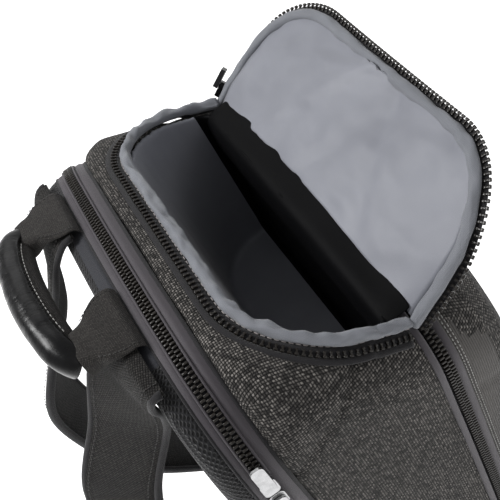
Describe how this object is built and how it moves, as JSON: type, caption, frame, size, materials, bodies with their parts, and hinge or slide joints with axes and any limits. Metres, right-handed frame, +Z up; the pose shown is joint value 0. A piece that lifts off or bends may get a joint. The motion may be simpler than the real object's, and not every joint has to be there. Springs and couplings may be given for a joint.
{
  "type": "camera_backpack",
  "caption": "Padded camera backpack with its top hatch open, a hollow lined compartment, laptop zip, shoulder straps and a soft grab handle",
  "frame": {"origin": "middle of the flat base panel's underside, where the bag stands", "axes": "+X across the bag, +Y towards the wearer's back, +Z up"},
  "size_m": [0.3465, 0.3637, 0.5018],
  "materials": {
    "ballistic": "ballistic nylon, basket weave",
    "smooth_panel": "smooth coated nylon",
    "dark_cloth": "dark woven tape and cloth",
    "grey_lining": "smooth grey lining",
    "grey_binding": "grey rolled binding",
    "zip_teeth": "moulded teeth",
    "air_mesh": "air mesh",
    "strap_cloth": "padded nylon",
    "handle_skin": "gloss black, soft wrinkles",
    "black_plastic": "moulded",
    "nickel": "polished nickel plate",
    "black_metal": "black enamel"
  },
  "bodies": {
    "root": {"main_shell": "ballistic", "base_panel": "ballistic", "lid_pad": "ballistic", "handle_tab_left": "ballistic", "handle_tab_right": "ballistic", "strap_anchor_left": "ballistic", "strap_anchor_right": "ballistic", "front_shell": "ballistic", "front_pocket_panel": "ballistic", "laptop_rear_gusset": "smooth_panel", "laptop_front_gusset": "smooth_panel", "laptop_bottom_strip": "smooth_panel", "front_bottom_strip": "smooth_panel", "front_zip_body_strip": "smooth_panel", "front_zip_pocket_strip": "smooth_panel", "laptop_tray": "dark_cloth", "hatch_tape": "dark_cloth", "hatch_gutter": "dark_cloth", "lid_tape": "dark_cloth", "hatch_pull": "dark_cloth", "hatch_lining": "grey_lining", "lid_lining": "grey_lining", "hatch_rim_binding": "grey_binding", "lid_binding": "grey_binding", "hatch_teeth": "zip_teeth", "lid_teeth": "zip_teeth", "laptop_zip": "zip_teeth", "front_zip": "zip_teeth", "front_pocket_zip": "zip_teeth", "back_mesh_pad": "air_mesh", "shoulder_strap_left": "strap_cloth", "shoulder_strap_right": "strap_cloth", "strap_webbing_left": "strap_cloth", "strap_webbing_right": "strap_cloth", "handle_grip": "handle_skin", "strap_adjuster_left": "black_plastic", "strap_adjuster_right": "black_plastic", "laptop_slider_upper": "nickel", "laptop_slider_lower": "nickel", "laptop_pull_upper": "nickel", "laptop_pull_lower": "nickel", "front_slider": "nickel", "front_pull": "nickel", "hatch_slider": "black_metal"}
  },
  "joints": []
}
